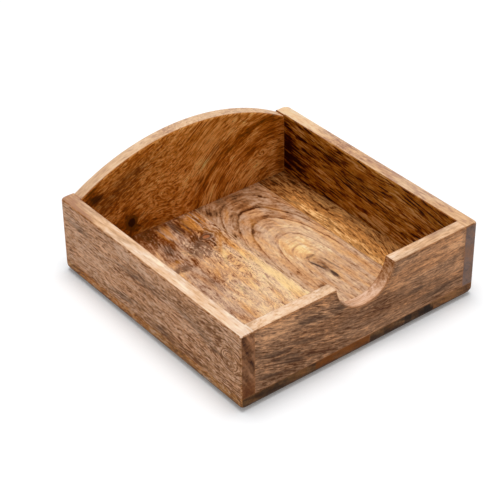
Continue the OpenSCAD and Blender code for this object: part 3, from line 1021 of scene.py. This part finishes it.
def right_stave_figure(figure):
    """Straight wavy grain with dark streaks and one bright shimmering band."""
    sheet = figure.sheet
    figure.set(wander=6.0, coarse=0.55, fine=0.95, grit=0.35, short=1.1, pores=0.14, amber=0.35)
    figure.end_tone = end_grain(figure, 75.0, 1.8, 0.3)
    front_lean = sheet.math("SMOOTH_MIN", sheet.add(figure.along, 5.0), 0.0, 25.0)
    figure.lane = sheet.plus_times(front_lean, -0.3, figure.across)
    figure.set(dashes=0.5, curl=1.2)
    # The first fade is painted shade: darker towards the back wall
    figure.tone = sheet.add(
        sheet.fade(figure.along, 70.0, 26.0, -0.28, 0.06),
        sheet.fade(figure.across, 53.0, 62.0, 0.04, -0.03),
    )
    shade_patches(figure, (
        ((30, 52), (16, 3.5), 0, 0.12, -0.5),
        ((-6, 50), (18, 4), 0, 0.06, -0.2),
    ))
    joint_lines(figure)


def joint_lines(figure):
    """The glue lines between the staves on the floor."""
    for joint in (LEFT_JOINT, RIGHT_JOINT):
        line = place_group(
            figure.sheet, glue_group,
            {"Across": figure.across, "Upward": figure.normal[2], "Joint": joint},
        )
        figure.mark(line["Dark"], JOINT_DARK, 0.3)
        figure.mark(line["Pale"], JOINT_PALE, 0.5)


# Which palette goes on which side of a board

def facing(sheet, part, way, low=0.45, high=0.75):
    """1 where the surface faces one way along an axis."""
    return sheet.fade(sheet.times(part, way), low, high)


def ends(sheet, part):
    """1 on both faces that look along an axis."""
    return sheet.fade(sheet.math("ABSOLUTE", part), 0.7, 0.95)


def crosswise(sheet, part, low):
    """1 on the faces that look across an axis, from the low share of it down."""
    return sheet.fade(sheet.math("ABSOLUTE", part), low, 0.4)


def top_face(sheet, normal):
    return facing(sheet, normal[2], 1.0, 0.72, 0.84)


def side_wall_zones(inward):
    """The faces of a side wall, whose inside looks along X (1) or against it (-1)."""
    def zones(sheet, normal, figure):
        return (
            ("inside", facing(sheet, normal[0], inward)),
            ("top", top_face(sheet, normal)),
            ("end", ends(sheet, normal[1])),
        )
    return zones


def front_wall_zones(sheet, normal, figure):
    """The inside of the front wall, its thumb notch and its sanded top."""
    return (
        ("inside", facing(sheet, normal[1], 1.0)),
        ("notch", crosswise(sheet, normal[1], 0.6)),
        ("top", sheet.times(
            facing(sheet, normal[2], 1.0, 0.86, 0.995),
            sheet.fade(figure.across, WALL_TOP - 2.0, WALL_TOP - 1.6),
        )),
    )


def back_wall_zones(sheet, normal, figure):
    """The inside of the back wall and its arch."""
    return (
        ("inside", facing(sheet, normal[1], -1.0)),
        ("top", top_face(sheet, normal)),
    )


def stave_zones(sheet, normal, figure):
    """The long edges and the ends of a stave."""
    return (
        ("side", crosswise(sheet, normal[2], 0.7)),
        ("end", ends(sheet, normal[1])),
    )


# For each board: its figure, the axes along and across the grain and through the board, the
# seed of its fibres, its faces and their palettes
BOARDS = {
    "left_wall": (
        left_wall_figure, "YZX", 1.0, side_wall_zones(1.0),
        {"face": GREY_BROWN, "inside": INNER_WARM, "top": SANDED, "end": REDDISH_END},
    ),
    "right_wall": (
        right_wall_figure, "YZX", 5.0, side_wall_zones(-1.0),
        {"face": OUTER_BROWN, "inside": DARK_STREAK, "top": SANDED_DARK, "end": PURPLISH_END},
    ),
    "front_wall": (
        front_wall_figure, "XZY", 9.0, front_wall_zones,
        {"face": FRONT_BROWN, "inside": INNER_WARM, "top": SANDED, "notch": NOTCH_WARM},
    ),
    "back_wall": (
        back_wall_figure, "XZY", 13.0, back_wall_zones,
        {"face": OUTER_BROWN, "inside": DEEP_ORANGE, "top": SANDED_DARK},
    ),
    "base_stave_left": (
        left_stave_figure, "YXZ", 17.0, stave_zones,
        {"face": BURL, "side": SIDE_BROWN, "end": DARK_END},
    ),
    "base_stave_middle": (
        middle_stave_figure, "YXZ", 21.0, stave_zones,
        {"face": CATHEDRAL, "side": SIDE_BROWN, "end": BLACK_END},
    ),
    "base_stave_right": (
        right_stave_figure, "YXZ", 25.0, stave_zones,
        {"face": WAVY, "side": SIDE_BROWN, "end": BROWN_END},
    ),
}
for board, finish in BOARDS.items():
    dress(board, wood_material(board + " wood", *finish))


# Dowels and pins

BEECH_FLECKS_PER_M = (260.0, 1400.0, 1400.0)
WIRE_RINGS_PER_M = (300.0, 300.0, 4200.0)


def dowel_material():
    """Plain turned beech with short fine flecks."""
    material = bpy.data.materials.new("turned beech")
    material.use_nodes = True
    sheet = Sheet(material.node_tree)
    shader = material.node_tree.nodes["Principled BSDF"]
    metres = sheet.step("TexCoord").outputs["Object"]
    flecks = sheet.noise(sheet.scaled(metres, BEECH_FLECKS_PER_M), 3.0, 0.6)
    tint = sheet.ramp(flecks, [(0.3, colour(176, 138, 96)), (0.65, colour(222, 192, 150))])
    sheet.feed(tint, shader.inputs["Base Color"])
    sheet.feed(sheet.plus_times(flecks, 0.2, 0.45), shader.inputs["Roughness"])
    bump = sheet.step("Bump", {"Height": flecks, "Strength": 0.2, "Distance": 0.0001})
    sheet.feed(bump.outputs[0], shader.inputs["Normal"])
    return material


def pin_material():
    """Bright drawn wire, with faint rings from the drawing."""
    material = bpy.data.materials.new("drawn wire")
    material.use_nodes = True
    sheet = Sheet(material.node_tree)
    shader = material.node_tree.nodes["Principled BSDF"]
    shader.inputs["Metallic"].default_value = 1.0
    metres = sheet.step("TexCoord").outputs["Object"]
    rings = sheet.noise(sheet.scaled(metres, WIRE_RINGS_PER_M), 2.0)
    tint = sheet.ramp(rings, [(0.3, colour(168, 170, 174)), (0.7, colour(206, 208, 210))])
    sheet.feed(tint, shader.inputs["Base Color"])
    sheet.feed(sheet.plus_times(rings, 0.2, 0.22), shader.inputs["Roughness"])
    return material


beech = dowel_material()
wire = pin_material()
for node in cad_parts:
    if node.startswith("dowels"):
        dress(node, beech)
    elif node.startswith("pins"):
        dress(node, wire)


# Floor, light and camera

def seen_rays(sheet):
    """1 for the rays that show a surface, from the camera or by a reflection."""
    rays = sheet.step("LightPath").outputs
    total = sheet.add(rays["Is Camera Ray"], rays["Is Glossy Ray"], rays["Is Transmission Ray"])
    return sheet.math("MINIMUM", total, 1.0)


def make_floor():
    """A pale floor that shows white and keeps the shadow of the holder."""
    side = FLOOR_HALF_SIDE
    mesh = bpy.data.meshes.new("floor")
    corners = [(-side, -side, 0.0), (side, -side, 0.0), (side, side, 0.0), (-side, side, 0.0)]
    mesh.from_pydata(corners, [], [(0, 1, 2, 3)])
    floor = bpy.data.objects.new("floor", mesh)
    bpy.context.scene.collection.objects.link(floor)
    material = bpy.data.materials.new("pale floor")
    material.use_nodes = True
    shader = material.node_tree.nodes["Principled BSDF"]
    shader.inputs["Base Color"].default_value = FLOOR_TONE
    shader.inputs["Roughness"].default_value = FLOOR_ROUGHNESS
    shader.inputs["Specular IOR Level"].default_value = FLOOR_SPECULAR
    shader.inputs["Emission Color"].default_value = (1.0, 1.0, 1.0, 1.0)
    sheet = Sheet(material.node_tree)
    sheet.feed(sheet.times(seen_rays(sheet), FLOOR_GLOW), shader.inputs["Emission Strength"])
    mesh.materials.append(material)


def make_world():
    """An even white surrounding that the camera and reflections see as plain white."""
    world = bpy.data.worlds.new("studio")
    bpy.context.scene.world = world
    world.use_nodes = True
    sheet = Sheet(world.node_tree)
    world.node_tree.nodes.clear()
    strength = sheet.fade(seen_rays(sheet), 0.0, 1.0, WORLD_STRENGTH, 1.0)
    back = sheet.step("Background", {"Color": (1.0, 1.0, 1.0, 1.0), "Strength": strength})
    leave = sheet.step("OutputWorld")
    world.node_tree.links.new(back.outputs[0], leave.inputs[0])


def make_lamp(name, place, target, size, watts):
    """A square soft lamp that shines on a target."""
    lamp = bpy.data.lights.new(name, "AREA")
    lamp.shape = "SQUARE"
    lamp.size = size
    lamp.energy = watts
    holder = bpy.data.objects.new(name, lamp)
    holder.location = place
    way = Vector(target) - Vector(place)
    holder.rotation_euler = way.to_track_quat("-Z", "Y").to_euler()
    bpy.context.scene.collection.objects.link(holder)


def make_camera():
    """The camera at the angle of the picture."""
    view = bpy.data.cameras.new("camera")
    view.lens = LENS_MM
    view.sensor_width = SENSOR_MM
    view.sensor_fit = "HORIZONTAL"
    view.clip_end = 20.0
    camera = bpy.data.objects.new("camera", view)
    place = Vector(CAMERA_PLACE)
    look = (Vector(CAMERA_TARGET) - place).normalized()
    lean = Matrix.Rotation(math.radians(CAMERA_LEAN_DEG), 4, "Z")
    camera.matrix_world = (
        Matrix.Translation(place) @ look.to_track_quat("-Z", "Y").to_matrix().to_4x4() @ lean
    )
    bpy.context.scene.collection.objects.link(camera)
    bpy.context.scene.camera = camera


make_floor()
make_world()
make_lamp("overhead", OVERHEAD_PLACE, (0.0, 0.0, 0.0), OVERHEAD_SIZE, OVERHEAD_WATTS)
make_camera()
bpy.context.scene.view_settings.view_transform = "Standard"
